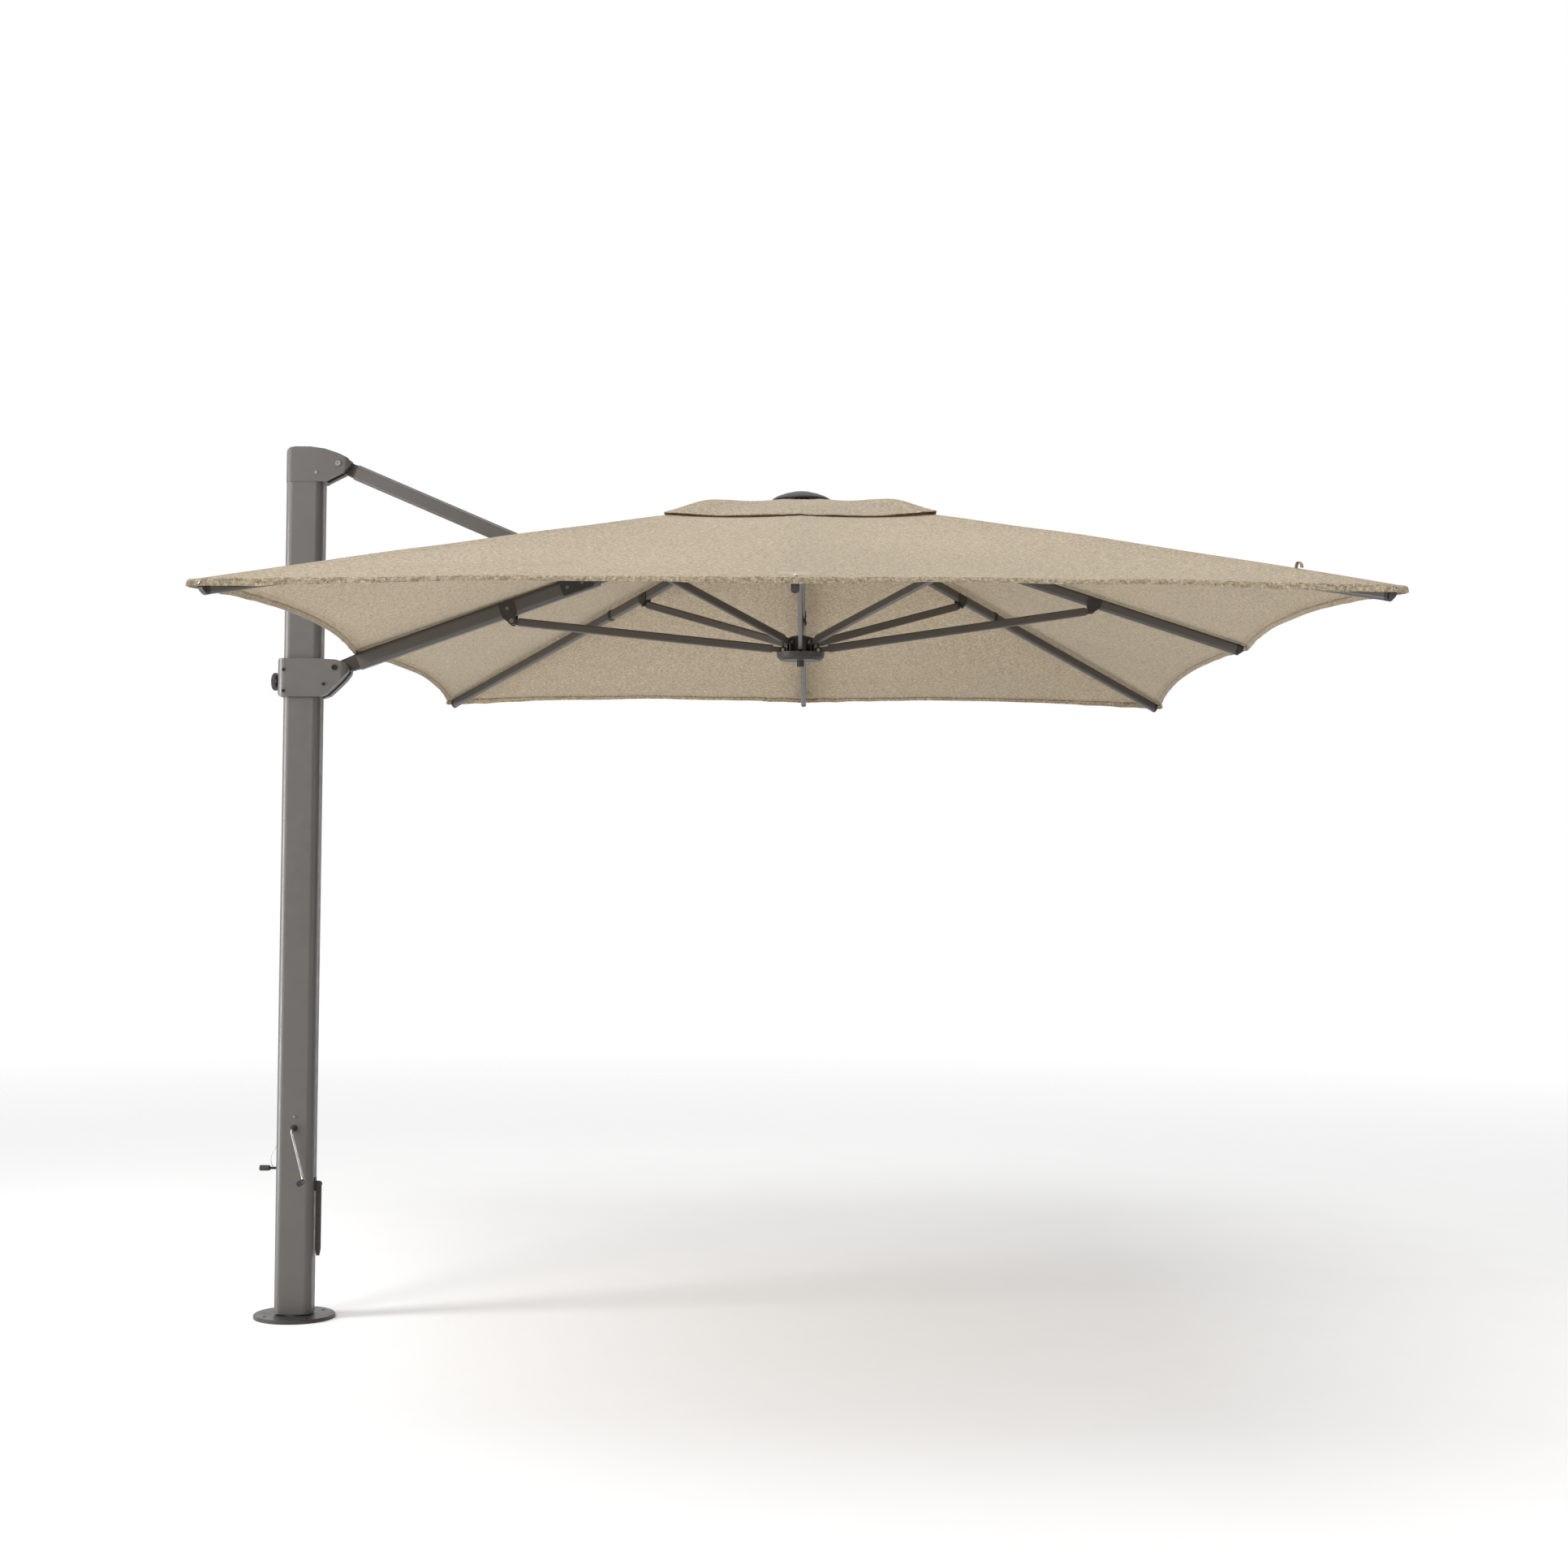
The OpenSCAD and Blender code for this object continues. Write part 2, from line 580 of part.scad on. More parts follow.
module stretcher_fr() color("gray") stretcher(2);
module stretcher_r() color("gray") stretcher(3);
module stretcher_br() color("gray") stretcher(4);
module stretcher_bm() color("gray") stretcher(5);
module stretcher_bl() color("gray") stretcher(6);
module stretcher_l() color("gray") stretcher(7);

// ---- runner ----
module runner_hub() color("dimgray") difference() {
    union() {
        translate([crown_x, 0, 2213]) cylinder(r1 = 68, r2 = 78, h = 9, $fn = 72);
        translate([crown_x, 0, 2222]) difference() {
            cylinder(r1 = 78, r2 = 82, h = 17, $fn = 72);
            translate([0, 0, 0.5]) cylinder(r1 = 75, r2 = 79, h = 17, $fn = 72);
        }
        translate([crown_x, 0, 2192]) cylinder(r = 12, h = 22);
        translate([crown_x, 0, 2222]) cylinder(r = 44, h = 62);
        for (i = [0:7]) at_crown(i) for (s = [-1, 1]) plate(3.4, s * 6.05) {
            translate([40, 2221]) square([28, run_z(i) - 2221 + 9]);
            translate([hub_r, run_z(i)]) circle(11);
        }
    }
    for (i = [0:7]) at_crown(i) {
        translate([hub_r, 0, run_z(i)]) across(pin_r + 0.02, 40);
        translate([hub_r - 11, -4.3, run_z(i) - 12]) cube([60, 8.6, 80]);
    }
}
module runner_pins() color("silver") for (i = [0:7]) at_crown(i) translate([hub_r, 0, run_z(i)]) {
    across(pin_r, 16);
    for (s = [-1, 1]) across(5.5, 1, s * 8.3);
}
module runner_cover() color("black") translate([crown_x, 0, 2284]) rotate_extrude($fn = 64)
    polygon([[0, 0], [44, 0], [46, 1], [45, 4], [36, 9], [20, 13], [0, 14]]);

// ---- canopy cloth ----
shares = [0, 0.03, 0.25, 0.5, 0.75, 0.97];
function tip_top(i) = i == 7 ? 2240 : dirs[i][2] + tip_rise;
function rim_pull(i, t) = 4 * t * (1 - t) * (i == 2 || i == 3 || i == 6 || i == 7 ? 0.036 : 0.02);
// a point of the cloth, at share s of the way out and t of the way to the next rib
function cloth(i, t, s, rise) =
    let (j = (i + 1) % 8, a = dirs[i], b = dirs[j], f = s * (1 - s * s * rim_pull(i, t)),
        z = peak_z + f * ((1 - t) * tip_top(i) + t * tip_top(j) - peak_z))
    [crown_x + f * ((1 - t) * a[0] + t * b[0]), f * ((1 - t) * a[1] + t * b[1]),
        z + rise - 6 * 4 * t * (1 - t) * sin(180 * s)];
// a closed shell over the given rings, without the cells that open(c, r) names
module shell(rings, rise, gap_rings) {
    nc = 48;
    nr = len(rings);
    function col(c) = (c + nc) % nc;
    function id(c, r, low) = (col(c) * nr + r) * 2 + low;
    function has(c, r) = r >= 0 && r < nr - 1
        && !((col(c) == 42 || col(c) == 41) && r >= gap_rings[0] && r < gap_rings[1]);
    pts = [for (c = [0:nc - 1], s = rings, low = [0, 1])
        cloth(floor(c / 6), shares[c % 6], s, rise - low * cloth_t)];
    tops = [for (c = [0:nc - 1], r = [0:nr - 2]) if (has(c, r))
        each [[id(c, r, 0), id(c, r + 1, 0), id(c + 1, r + 1, 0)],
            [id(c, r, 0), id(c + 1, r + 1, 0), id(c + 1, r, 0)],
            [id(c, r, 1), id(c + 1, r + 1, 1), id(c, r + 1, 1)],
            [id(c, r, 1), id(c + 1, r, 1), id(c + 1, r + 1, 1)]]];
    walls = [for (c = [0:nc - 1], r = [0:nr - 2]) if (has(c, r)) each concat(
        has(c, r - 1) ? [] : [[id(c, r, 0), id(c + 1, r, 0), id(c + 1, r, 1), id(c, r, 1)]],
        has(c, r + 1) ? [] : [[id(c + 1, r + 1, 0), id(c, r + 1, 0), id(c, r + 1, 1), id(c + 1, r + 1, 1)]],
        has(c - 1, r) ? [] : [[id(c, r + 1, 0), id(c, r, 0), id(c, r, 1), id(c, r + 1, 1)]],
        has(c + 1, r) ? [] : [[id(c + 1, r, 0), id(c + 1, r + 1, 0), id(c + 1, r + 1, 1), id(c + 1, r, 1)]])];
    polyhedron(points = pts, faces = concat(tops, walls), convexity = 8);
}
module canopy() color("tan")
    shell([0.13, 0.22, 0.31, 0.4, 0.5, 0.6, 0.7, 0.8, 0.9, 1], 0, [3, 5]);
module vent_cover() color("tan")
    shell([0.012, 0.06, 0.13, 0.21, vent_share], vent_gap, [9, 9]);

base_plate();
mast_spigot();
thrust_ring();
mast_tube();
mast_bushes();
mast_head();
mast_bolts();
winch_case();
crank_bush();
handle_bracket();
lock_pin_lanyard();
head_pulley();
crank_rod();
winch_drum();
crank_grip();
lock_pin();
lock_pin_grip();
turning_handle();
slider_front_shell();
slider_rear_shell();
slider_glides();
slider_bolts();
clamp_knob();
strut_tube();
strut_tongues();
arm_tube();
arm_tongues();
strut_bracket();
stretcher_bracket();
arm_bolts();
crown_hub();
crown_pins();
crown_cap();
rib_fl();
rib_fm();
rib_fr();
rib_r();
rib_br();
rib_bm();
rib_bl();
rib_fl_fittings();
rib_fm_fittings();
rib_fr_fittings();
rib_r_fittings();
rib_br_fittings();
rib_bm_fittings();
rib_bl_fittings();
stretcher_fl();
stretcher_fm();
stretcher_fr();
stretcher_r();
stretcher_br();
stretcher_bm();
stretcher_bl();
stretcher_l();
runner_hub();
runner_pins();
runner_cover();
canopy();
vent_cover();
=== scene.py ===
"""Looks for the cantilever parasol: materials, a woven canopy, a wire and a studio."""

import json
import math

import bmesh
import bpy
import numpy as np
from mathutils import Matrix, Vector, noise


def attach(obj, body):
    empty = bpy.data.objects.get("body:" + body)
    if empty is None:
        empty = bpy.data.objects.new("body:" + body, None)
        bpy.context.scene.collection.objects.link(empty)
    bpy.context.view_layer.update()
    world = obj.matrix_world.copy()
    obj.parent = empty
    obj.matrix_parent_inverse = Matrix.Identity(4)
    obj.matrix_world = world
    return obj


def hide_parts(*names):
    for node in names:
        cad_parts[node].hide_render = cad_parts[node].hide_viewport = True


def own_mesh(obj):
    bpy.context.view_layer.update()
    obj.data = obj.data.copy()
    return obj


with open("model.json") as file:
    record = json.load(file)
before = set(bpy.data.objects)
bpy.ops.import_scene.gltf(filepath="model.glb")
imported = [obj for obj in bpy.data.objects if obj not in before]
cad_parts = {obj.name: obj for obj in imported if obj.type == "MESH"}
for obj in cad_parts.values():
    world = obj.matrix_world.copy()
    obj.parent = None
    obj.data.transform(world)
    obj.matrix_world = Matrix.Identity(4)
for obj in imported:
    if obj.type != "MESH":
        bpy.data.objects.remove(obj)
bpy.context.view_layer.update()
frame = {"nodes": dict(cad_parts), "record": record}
nodes = frame["nodes"]
slots = {s["node"]: s["material_slot"] for s in frame["record"]["subparts"]}

# ---------------------------------------------------------------- camera

CAMERA_PLACE = (1.7367, -7.6422, 1.5042)
YAW, PITCH, ROLL = -0.0143, 0.0382, 0.0072
LENS_MM, SENSOR_MM = 52.13, 36


def make_camera():
    """The camera of the photo, as near as the canopy's corners and the mast show it."""
    ahead = Vector(
        (math.sin(YAW) * math.cos(PITCH), math.cos(YAW) * math.cos(PITCH), math.sin(PITCH))
    )
    right = Vector((math.cos(YAW), -math.sin(YAW), 0))
    up = right.cross(ahead)
    side = math.cos(ROLL) * right + math.sin(ROLL) * up
    top = math.cos(ROLL) * up - math.sin(ROLL) * right
    data = bpy.data.cameras.new("camera")
    data.sensor_width, data.lens = SENSOR_MM, LENS_MM
    data.clip_start, data.clip_end = 0.1, 200
    cam = bpy.data.objects.new("camera", data)
    turn = Matrix((side, top, -ahead)).transposed().to_4x4()
    cam.matrix_world = Matrix.Translation(CAMERA_PLACE) @ turn
    bpy.context.collection.objects.link(cam)
    bpy.context.scene.camera = cam


make_camera()

# ---------------------------------------------------------------- material helpers


class Nodes:
    """A material being built: its node tree, its Principled shader and short ways to add nodes."""

    def __init__(self, name):
        self.material = bpy.data.materials.new(name)
        self.material.use_nodes = True
        self.tree = self.material.node_tree
        self.shader = self.tree.nodes["Principled BSDF"]
        self.place = None

    def add(self, kind, **settings):
        n = self.tree.nodes.new("ShaderNode" + kind)
        for k, v in settings.items():
            setattr(n, k, v)
        return n

    def feed(self, source, target):
        """Give a socket a number, a colour or a link from another node."""
        if isinstance(source, (int, float)):
            target.default_value = source
        elif isinstance(source, tuple):
            target.default_value = source if len(source) == 4 else (*source, 1)
        else:
            self.tree.links.new(source, target)

    def coords(self, stretch=(1, 1, 1)):
        if self.place is None:
            self.place = self.add("TexCoord").outputs["Object"]
        if stretch == (1, 1, 1):
            return self.place
        m = self.add("Mapping")
        m.inputs["Scale"].default_value = stretch
        self.feed(self.place, m.inputs["Vector"])
        return m.outputs["Vector"]

    def noise(self, scale, detail=2.0, rough=0.5, stretch=(1, 1, 1)):
        n = self.add("TexNoise")
        n.inputs["Scale"].default_value = scale
        n.inputs["Detail"].default_value = detail
        n.inputs["Roughness"].default_value = rough
        self.feed(self.coords(stretch), n.inputs["Vector"])
        return n.outputs["Fac"]

    def sum(self, operation, a, b=0.0):
        n = self.add("Math", operation=operation)
        self.feed(a, n.inputs[0])
        self.feed(b, n.inputs[1])
        return n.outputs[0]

    def between(self, value, low, high, out_low=0.0, out_high=1.0):
        n = self.add("MapRange")
        for socket, v in zip(n.inputs[:5], (value, low, high, out_low, out_high)):
            self.feed(v, socket)
        return n.outputs[0]

    def mix(self, share, a, b, blend="MIX"):
        n = self.add("Mix", data_type="RGBA", blend_type=blend)
        self.feed(share, n.inputs[0])
        self.feed(a, n.inputs[6])
        self.feed(b, n.inputs[7])
        return n.outputs[2]

    def attribute(self, name):
        return self.add("Attribute", attribute_name=name).outputs["Fac"]

    def bump(self, height, distance, below=None):
        n = self.add("Bump")
        n.inputs["Distance"].default_value = distance
        n.inputs["Strength"].default_value = 1.0
        self.feed(height, n.inputs["Height"])
        if below is not None:
            self.feed(below, n.inputs["Normal"])
        return n.outputs["Normal"]

    def dashes(self, run, off, at, pitch=0.0042, wide=0.0007, half_stitch=0.36):
        """A row of stitches along run, where off is within wide of at.

        half_stitch is half a stitch's length, as a share of pitch.
        """
        step = self.sum("FRACT", self.sum("DIVIDE", run, pitch))
        middle = self.sum("ABSOLUTE", self.sum("SUBTRACT", step, 0.5))
        on = self.sum("LESS_THAN", middle, half_stitch)
        line = self.sum("LESS_THAN", self.sum("ABSOLUTE", self.sum("SUBTRACT", off, at)), wide)
        return self.sum("MULTIPLY", on, line)

    def end(self, colour, roughness, normal=None, metallic=0.0, **plain):
        s = self.shader
        self.feed(colour, s.inputs["Base Color"])
        self.feed(roughness, s.inputs["Roughness"])
        s.inputs["Metallic"].default_value = metallic
        if normal is not None:
            self.feed(normal, s.inputs["Normal"])
        for k, v in plain.items():
            s.inputs[k.replace("_", " ")].default_value = v
        return self.material


def tone(colour, by):
    return tuple(c * by for c in colour)


# ---------------------------------------------------------------- materials


def powder_coat(name, colour, grain=1100, depth=0.00005, gloss=0.4, metallic=0.35):
    """Fine textured powder coat: pinhole grain, soft cloudiness and a satin sheen."""
    n = Nodes(name)
    cloud = n.noise(5, 4)
    speck = n.noise(grain, 2, 0.6)
    dark = n.mix(n.between(cloud, 0.3, 0.7), tone(colour, 0.93), tone(colour, 1.06))
    colour = n.mix(n.between(speck, 0.35, 0.75), dark, tone(colour, 1.22))
    rough = n.between(n.noise(26, 3), 0.3, 0.7, gloss - 0.05, gloss + 0.07)
    orange_peel = n.bump(n.noise(220, 2), depth * 0.8)
    return n.end(colour, rough, n.bump(speck, depth, orange_peel), metallic)


def cast_metal(name, colour, gloss=0.5):
    """Sand-cast aluminium under thin dark paint."""
    n = Nodes(name)
    coarse, fine = n.noise(140, 4, 0.6), n.noise(900, 2)
    base = n.mix(n.between(coarse, 0.3, 0.7), tone(colour, 0.8), tone(colour, 1.25))
    worn = n.between(n.noise(60, 6, 0.7), 0.66, 0.74)
    base = n.mix(n.sum("MULTIPLY", worn, 0.25), base, tone(colour, 2.0))
    rough = n.between(fine, 0.3, 0.7, gloss - 0.06, gloss + 0.1)
    return n.end(base, rough, n.bump(coarse, 0.00012, n.bump(fine, 0.00004)), 0.4)


def anodised(name, colour, gloss=0.34):
    """Anodised extrusion: satin, with faint drawing lines along x and along y."""
    n = Nodes(name)
    lines = n.sum(
        "ADD", n.noise(40, 3, 0.6, (1, 30, 30)), n.noise(40, 3, 0.6, (30, 1, 30))
    )
    base = n.mix(n.between(lines, 0.7, 1.3), tone(colour, 0.88), tone(colour, 1.1))
    rough = n.between(lines, 0.7, 1.3, gloss - 0.05, gloss + 0.1)
    return n.end(base, rough, n.bump(n.noise(700, 2), 0.00002), 0.65)


def bright_steel(name, colour, gloss=0.28):
    """Plain steel, with faint lines along x."""
    n = Nodes(name)
    lines = n.noise(60, 4, 0.7, (1, 12, 12))
    base = n.mix(n.between(lines, 0.3, 0.7), tone(colour, 0.8), colour)
    rough = n.between(n.noise(240, 3), 0.3, 0.7, gloss - 0.06, gloss + 0.12)
    return n.end(base, rough, n.bump(lines, 0.00002), 1.0)


def chrome(name):
    """Plated rod with a slight haze."""
    n = Nodes(name)
    haze = n.noise(35, 4, 0.6)
    base = n.mix(n.between(haze, 0.4, 0.8), (0.4, 0.385, 0.36), (0.3, 0.285, 0.265))
    return n.end(base, n.between(haze, 0.3, 0.8, 0.1, 0.22), n.bump(n.noise(500, 2), 0.000008), 1.0)


def plastic(name, colour, gloss=0.45):
    """Moulded nylon with spark-eroded texture."""
    n = Nodes(name)
    pits = n.noise(850, 3, 0.6)
    base = n.mix(n.between(n.noise(9, 3), 0.3, 0.7), tone(colour, 0.85), tone(colour, 1.2))
    rough = n.between(pits, 0.3, 0.7, gloss - 0.06, gloss + 0.1)
    return n.end(base, rough, n.bump(pits, 0.00006), 0.0)


WARM = (0.094, 0.088, 0.082)
finishes = {
    "frame_paint": powder_coat("frame_paint", WARM),
    "dark_casting": cast_metal("dark_casting", (0.043, 0.038, 0.034)),
    "stretcher_metal": anodised("stretcher_metal", (0.115, 0.105, 0.097)),
    "steel": bright_steel("steel", (0.5, 0.48, 0.45)),
    "chrome_rod": chrome("chrome_rod"),
    "base_paint": powder_coat(
        "base_paint", (0.042, 0.039, 0.036), grain=600, depth=0.00009, gloss=0.36, metallic=0.45
    ),
    "black_plastic": plastic("black_plastic", (0.022, 0.02, 0.019)),
    "bush_plastic": plastic("bush_plastic", (0.05, 0.048, 0.046), 0.5),
}
black_steel = bright_steel("black_steel", (0.04, 0.037, 0.035), 0.36)
dull_steel = bright_steel("dull_steel", (0.27, 0.26, 0.245), 0.34)
own_finish = {
    "arm_bolts": dull_steel,
    "slider_bolts": black_steel,
    "mast_bolts": dull_steel,
    "lock_pin": black_steel,
}


def heather(n, light, mid, dark):
    """The colour of yarn-dyed cloth: slubs along both threads, with speckle over them."""
    weft = n.noise(88, 4, 0.7, (1, 2.2, 1))
    warp = n.noise(110, 3, 0.65, (2.2, 1, 1))
    fleck = n.noise(380, 2, 0.6)
    threads = n.sum("ADD", n.sum("MULTIPLY", weft, 0.62), n.sum("MULTIPLY", warp, 0.38))
    base = n.mix(n.between(threads, 0.4, 0.53), dark, mid)
    base = n.mix(n.between(threads, 0.53, 0.64), base, light)
    base = n.mix(n.between(fleck, 0.5, 0.75, 0, 0.6), base, light)
    cloud = n.between(n.noise(1.6, 3), 0.3, 0.7, 0.95, 1.05)
    return n.mix(1.0, base, cloud, "MULTIPLY"), fleck


def weave(n, pitch=0.0011):
    """Plain weave relief: over and under, a thread every pitch metres each way."""
    wave = 2 * math.pi / pitch
    split = n.add("SeparateXYZ")
    n.feed(n.coords(), split.inputs[0])
    sx = n.sum("SINE", n.sum("MULTIPLY", split.outputs[0], wave / 2))
    sy = n.sum("SINE", n.sum("MULTIPLY", split.outputs[1], wave / 2))
    return n.between(n.sum("MULTIPLY", sx, sy), -1, 1)


def canopy_cloth():
    """Woven cloth with hem and seam stitches, a painted shade line along the hem's crease, and a little of
    the light coming through it.
    """
    n = Nodes("cloth")
    colour, fleck = heather(n, (0.62, 0.528, 0.402), (0.39, 0.316, 0.214), (0.18, 0.135, 0.08))
    edge, round_, seam, along = (
        n.attribute(a) for a in ("edge", "round", "seam", "along")
    )
    stitches = n.dashes(round_, edge, 0.013)
    stitches = n.sum("MAXIMUM", stitches, n.dashes(round_, edge, -0.0125))
    for at in (-0.0085, 0.0085):
        stitches = n.sum("MAXIMUM", stitches, n.dashes(along, seam, at))
    beyond = n.sum("ABSOLUTE", seam)
    ridge = n.between(beyond, 0.011, 0.013, 1.0, 0.0)
    pucker = n.sum(
        "MULTIPLY",
        n.noise(55, 2, 0.5),
        n.sum("MAXIMUM", n.between(beyond, 0.008, 0.05, 1, 0), n.between(edge, 0.02, 0.06, 1, 0)),
    )
    # painted shade: a dark line along the hem's crease, 15.5 mm in from the rim
    painted_crease_shade = n.between(n.sum("ABSOLUTE", n.sum("SUBTRACT", edge, 0.0155)), 0.0, 0.003, 0.2, 0)
    # shade holds the stitches' dark thread and the painted crease shade; both darken the cloth towards a dark
    # brown
    shade = n.sum("MAXIMUM", painted_crease_shade, n.sum("MULTIPLY", stitches, 0.28))
    colour = n.mix(shade, colour, (0.2, 0.155, 0.1))
    relief = n.bump(weave(n), 0.00025)
    relief = n.bump(fleck, 0.0003, relief)
    relief = n.bump(n.sum("SUBTRACT", ridge, n.sum("MULTIPLY", stitches, 0.8)), 0.0007, relief)
    relief = n.bump(pucker, 0.0011, relief)
    n.end(colour, 0.92, relief, 0.0, Sheen_Weight=0.25, Sheen_Roughness=0.45)
    n.shader.inputs["Specular IOR Level"].default_value = 0.25
    glow = n.add("BsdfTranslucent")
    n.feed(n.mix(1.0, colour, (0.95, 0.82, 0.58), "MULTIPLY"), glow.inputs["Color"])
    n.feed(relief, glow.inputs["Normal"])
    both = n.add("MixShader")
    both.inputs[0].default_value = 0.13
    n.feed(n.shader.outputs[0], both.inputs[1])
    n.feed(glow.outputs[0], both.inputs[2])
    n.feed(both.outputs[0], n.tree.nodes["Material Output"].inputs["Surface"])
    return n.material


def trim_cloth():
    """Plainer cloth, without the canopy's stitches, for what is sewn on it."""
    n = Nodes("cloth_trim")
    colour, fleck = heather(n, (0.52, 0.44, 0.33), (0.4, 0.325, 0.225), (0.27, 0.21, 0.135))
    return n.end(
        colour, 0.92, n.bump(fleck, 0.0003, n.bump(weave(n), 0.00025)), 0.0, Sheen_Weight=0.25
    )


cloth_finish = canopy_cloth()
trim_finish = trim_cloth()
finishes["cloth"] = cloth_finish

for name, node in nodes.items():
    finish = own_finish.get(name, finishes[slots[name]])
    if not node.data.materials:
        node.data.materials.append(finish)
    for k in range(len(node.data.materials)):
        node.data.materials[k] = finish

# ---------------------------------------------------------------- mesh helpers


def new_object(name, verts, faces, finish, body, normals=None):
    mesh = bpy.data.meshes.new(name)
    mesh.from_pydata([tuple(v) for v in verts], [], faces)
    mesh.materials.append(finish)
    mesh.polygons.foreach_set("use_smooth", [True] * len(mesh.polygons))
    if normals is not None:
        mesh.normals_split_custom_set_from_vertices([tuple(v) for v in normals])
    mesh.update()
    ob = bpy.data.objects.new(name, mesh)
    bpy.context.collection.objects.link(ob)
    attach(ob, body)
    return ob


def put_attribute(ob, name, values):
    at = ob.data.attributes.new(name, "FLOAT", "POINT")
    at.data.foreach_set("value", np.asarray(values, np.float32).ravel())


def grid_faces(rows, cols, wrap=False, skip=()):
    """Quads between neighbouring columns of points, less those whose (column, row) is in skip."""
    faces = []
    for c in range(cols if wrap else cols - 1):
        for r in range(rows - 1):
            if (c, r) not in skip:
                d = (c + 1) % cols
                faces.append((c * rows + r, c * rows + r + 1, d * rows + r + 1, d * rows + r))
    return faces


def lathe(name, profile, centre, axis, body):
    """A turned steel piece: profile is (radius, height) pairs along axis from centre."""
    axis = Vector(axis).normalized()
    turn = axis.to_track_quat("Z", "Y").to_matrix()
    verts, sides = [], 28
    for k in range(sides):
        a = 2 * math.pi * k / sides
        for r, h in profile:
            verts.append(Vector(centre) + turn @ Vector((r * math.cos(a), r * math.sin(a), h)))
    faces = grid_faces(len(profile), sides, wrap=True)
    ob = new_object(name, verts, faces, finishes["steel"], body)
    close_and_smooth(ob, 35)
    return ob


def close_and_smooth(ob, angle):
    """Weld the points that coincide, and shade edges sharper than angle degrees as creases."""
    bm = bmesh.new()
    bm.from_mesh(ob.data)
    bmesh.ops.remove_doubles(bm, verts=bm.verts, dist=1e-6)
    bmesh.ops.recalc_face_normals(bm, faces=bm.faces)
    for e in bm.edges:
        if len(e.link_faces) == 2 and e.calc_face_angle() > math.radians(angle):
            e.smooth = False
    bm.to_mesh(ob.data)
    bm.free()


# ---------------------------------------------------------------- canopy shape

CROWN = 1.68  # x of the canopy's middle
PEAK = 2.763  # z at which the cloth's planes would meet there
VENT = 0.284  # the share of the way out at which the vent cover ends
NAMES = ["fl", "fm", "fr", "r", "br", "bm", "bl", "l"]  # anticlockwise from above
ARM = 7  # the last of them lies on the arm, which stands in for a rib
# the rim's corners and edge middles from the crown in plan, and their heights
REACH = np.array(
    [(-1.5, -2), (0, -2), (1.5, -2), (1.5, 0), (1.5, 2), (0, 2), (-1.5, 2), (-1.5, 0)], float
)
TOPS = np.array([2.225, 2.237, 2.225, 2.275, 2.225, 2.237, 2.225, 2.240])
# the share by which each panel's rim is pulled in, half way between its ribs
PULL = np.array([0.02, 0.02, 0.036, 0.036, 0.02, 0.02, 0.036, 0.036])
# how far the cloth rises off a straight line over each rib
CROWN_OF_RIB = np.array([0.006, 0.003, 0.012, 0.003, 0.006, 0.003, 0.006, 0.002])
CORNER = (0, 2, 4, 6)
SAG, SLACK_FOLD, UNEVEN = 0.006, 0.0022, 0.0032  # depths of the cloth's sag, folds and unevenness


def rough_at(x, y, seed, size):
    """Smooth unevenness from -1 to 1, with bumps about size metres apart."""
    return noise.noise(Vector((x / size, y / size, seed)))


def cloth_point(k, s, rise):
    """A point of the cloth: k counts round the ribs from the front left one, s is the share out."""
    i = int(math.floor(k)) % 8
    t = k - math.floor(k)
    j = (i + 1) % 8
    hump = 4 * t * (1 - t)
    f = s * (1 - s * s * PULL[i] * hump)
    a, b = REACH[i], REACH[j]
    x, y = f * ((1 - t) * a[0] + t * b[0]), f * ((1 - t) * a[1] + t * b[1])
    z = PEAK + f * ((1 - t) * TOPS[i] + t * TOPS[j] - PEAK) + rise
    z -= SAG * hump * math.sin(math.pi * min(s, 1))
    ridge = (1 - t) ** 3 * CROWN_OF_RIB[i] + t**3 * CROWN_OF_RIB[j]
    z += ridge * math.sin(math.pi * min(s, 1)) ** 0.8
    # slack between ribs gathers in low folds that run out to the corners
    near = min(t, 1 - t)
    fold = math.exp(-((near / 0.22) ** 2)) * (1 - math.exp(-((near / 0.03) ** 2)))
    z += SLACK_FOLD * fold * math.sin(2 * math.pi * (near * 21 + s * 0.8 + i)) * min(1, s * 1.4)
    z += UNEVEN * rough_at(x, y, 3.1, 0.42) * math.sin(math.pi * min(s, 1))
    return np.array((CROWN + x, y, z))


def rim_way(k):
    """Where the rim faces at k, in plan, and how far off the nearest rib is along it."""
    i = int(math.floor(k)) % 8
    t = k - math.floor(k)
    j = (i + 1) % 8
    run = REACH[j] - REACH[i]
    wide = float(np.linalg.norm(run))
    face = np.array((run[1], -run[0])) / wide
    rib = i if t < 0.5 else j
    off = min(t, 1 - t) * wide
    share = math.exp(-((off / 0.035) ** 2))
    face = (1 - share) * face + share * REACH[rib] / np.linalg.norm(REACH[rib])
    return face / np.linalg.norm(face), off, rib


HEM = 0.014  # how far the hem turns down between ribs


